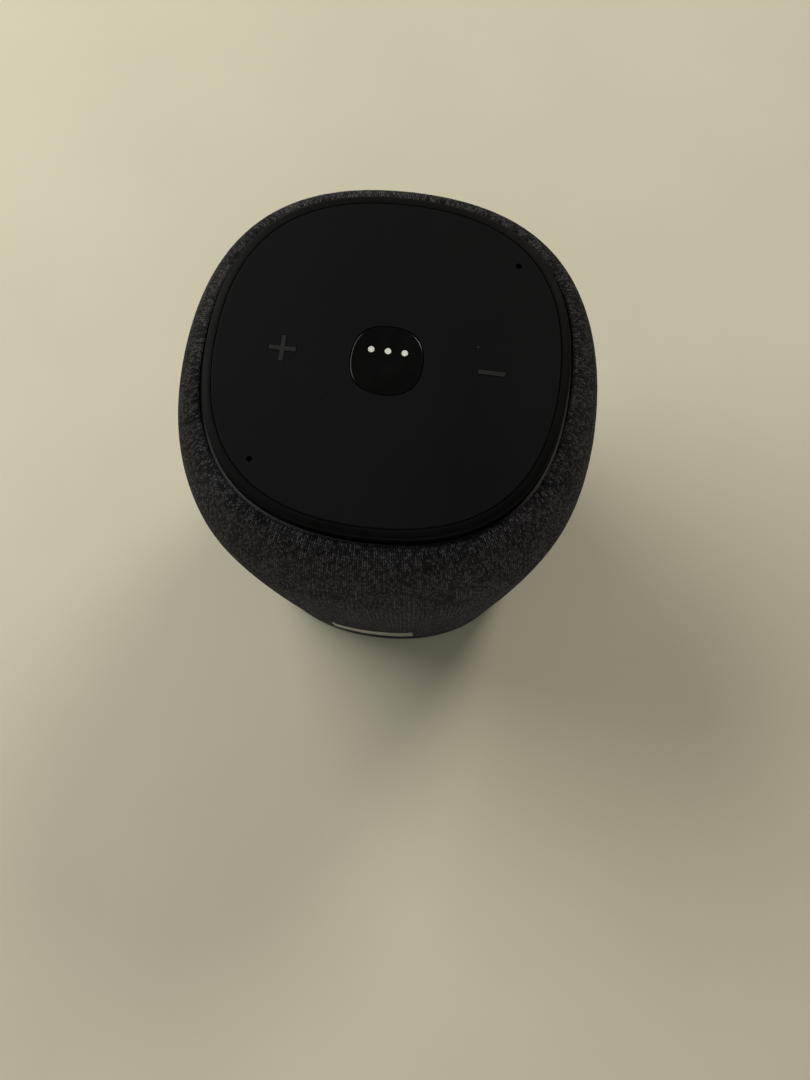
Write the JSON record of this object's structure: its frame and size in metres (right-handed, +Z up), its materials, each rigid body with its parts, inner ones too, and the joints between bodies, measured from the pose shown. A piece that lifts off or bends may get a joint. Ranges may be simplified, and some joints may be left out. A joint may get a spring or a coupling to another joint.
{
  "type": "smart speaker",
  "caption": "Compact smart speaker: knit-covered rounded-square barrel, flat control panel with talk and volume keys, front plate, rear connector panel and rubber foot.",
  "frame": {"origin": "centre of the footprint, on the surface the speaker stands on", "axes": "+Z up, front with the plate at -Y, connector panel at +Y, louder key at -X"},
  "size_m": [0.112, 0.112, 0.134],
  "materials": {
    "foot_rubber": "matt",
    "base_plastic": "matt",
    "steel": "zinc plated",
    "inner_plastic": "moulded",
    "knit_fabric": "charcoal heathered knit",
    "badge_silver": "satin",
    "soft_rubber": "matt",
    "black_steel": "black",
    "plated_steel": "plated",
    "magnet_ferrite": "sintered",
    "paper_cone": "pressed paper",
    "coil_copper": "enamelled",
    "spider_cloth": "treated cloth",
    "board_green": "solder mask",
    "ferrite_core": "ferrite",
    "capacitor_can": "sleeved",
    "part_black": "moulded",
    "heatsink": "anodised",
    "bezel_plastic": "smooth black",
    "panel_plastic": "soft-touch black",
    "button_gloss": "gloss black",
    "window_lens": "diffusing white",
    "mark_grey": "grey mark",
    "rear_plastic": "black",
    "slider_red": "black",
    "brass_pin": "nickel plated",
    "lead_sheath": "insulated"
  },
  "bodies": {
    "housing": {"base_plate": "base_plastic", "base_screws": "steel", "bezel_ring": "bezel_plastic", "board_connectors": "part_black", "board_screws": "steel", "box_gasket": "soft_rubber", "box_lid": "inner_plastic", "case_screws": "steel", "control_panel": "panel_plastic", "driver_basket": "black_steel", "driver_gasket": "soft_rubber", "driver_magnet": "magnet_ferrite", "driver_screws": "steel", "driver_spider": "spider_cloth", "driver_surround": "soft_rubber", "driver_top_plate": "plated_steel", "driver_yoke": "plated_steel", "fabric_sleeve": "knit_fabric", "foot_ring": "foot_rubber", "front_badge": "badge_silver", "grille_shell": "inner_plastic", "heat_spreader": "heatsink", "inlet_pins": "brass_pin", "io_board": "board_green", "io_switches": "part_black", "key_board": "board_green", "key_switches": "part_black", "lead_grommet": "soft_rubber", "leads": "lead_sheath", "main_board": "board_green", "main_shield": "plated_steel", "mic_boards": "board_green", "mic_boots": "soft_rubber", "power_inlet": "rear_plastic", "psu_board": "board_green", "psu_capacitors": "capacitor_can", "psu_transformer": "ferrite_core", "radiator_frame_left": "inner_plastic", "radiator_frame_right": "inner_plastic", "radiator_screws": "steel", "radiator_surround_left": "soft_rubber", "radiator_surround_right": "soft_rubber", "rear_panel": "rear_plastic", "small_screws": "steel", "sound_diffuser": "inner_plastic", "speaker_box": "inner_plastic", "top_frame": "inner_plastic", "wifi_antennas": "part_black"},
    "talk_key": {"talk_button": "button_gloss", "status_windows": "window_lens"},
    "volume_up": {"volume_up_key": "mark_grey"},
    "volume_down": {"volume_down_key": "mark_grey"},
    "mute_knob": {"mute_slider": "slider_red"},
    "pairing_key": {"pairing_button": "rear_plastic"},
    "driver_diaphragm": {"driver_cone": "paper_cone", "dust_cap": "paper_cone", "voice_coil": "coil_copper"},
    "left_radiator": {"radiator_plate_left": "plated_steel"},
    "right_radiator": {"radiator_plate_right": "plated_steel"}
  },
  "joints": [
    {"name": "talk_press", "type": "slide", "parent": "housing", "child": "talk_key", "axis": [0, 0, -1], "range_m": [0, 0.0005], "stiffness_N_per_m": 400},
    {"name": "volume_up_press", "type": "slide", "parent": "housing", "child": "volume_up", "axis": [0, 0, -1], "range_m": [0, 0.0005], "stiffness_N_per_m": 400},
    {"name": "volume_down_press", "type": "slide", "parent": "housing", "child": "volume_down", "axis": [0, 0, -1], "range_m": [0, 0.0005], "stiffness_N_per_m": 400},
    {"name": "mute_slide", "type": "slide", "parent": "housing", "child": "mute_knob", "axis": [1, 0, 0], "range_m": [0, 0.003]},
    {"name": "pairing_press", "type": "slide", "parent": "housing", "child": "pairing_key", "axis": [0, -1, 0], "range_m": [0, 0.0005], "stiffness_N_per_m": 400},
    {"name": "driver_excursion", "type": "slide", "parent": "housing", "child": "driver_diaphragm", "axis": [0, 0, -1], "range_m": [-0.0025, 0.0025], "stiffness_N_per_m": 1200, "deforming": ["driver_surround", "driver_spider"]},
    {"name": "left_radiator_excursion", "type": "slide", "parent": "housing", "child": "left_radiator", "axis": [-1, 0, 0], "range_m": [-0.0025, 0.0025], "deforming": ["radiator_surround_left"]},
    {"name": "right_radiator_excursion", "type": "slide", "parent": "housing", "child": "right_radiator", "axis": [1, 0, 0], "range_m": [-0.0025, 0.0025], "deforming": ["radiator_surround_right"]}
  ],
  "couplings": [
    {"joint": "left_radiator_excursion", "follows": "driver_excursion", "ratio": -0.9},
    {"joint": "right_radiator_excursion", "follows": "driver_excursion", "ratio": -0.9}
  ]
}
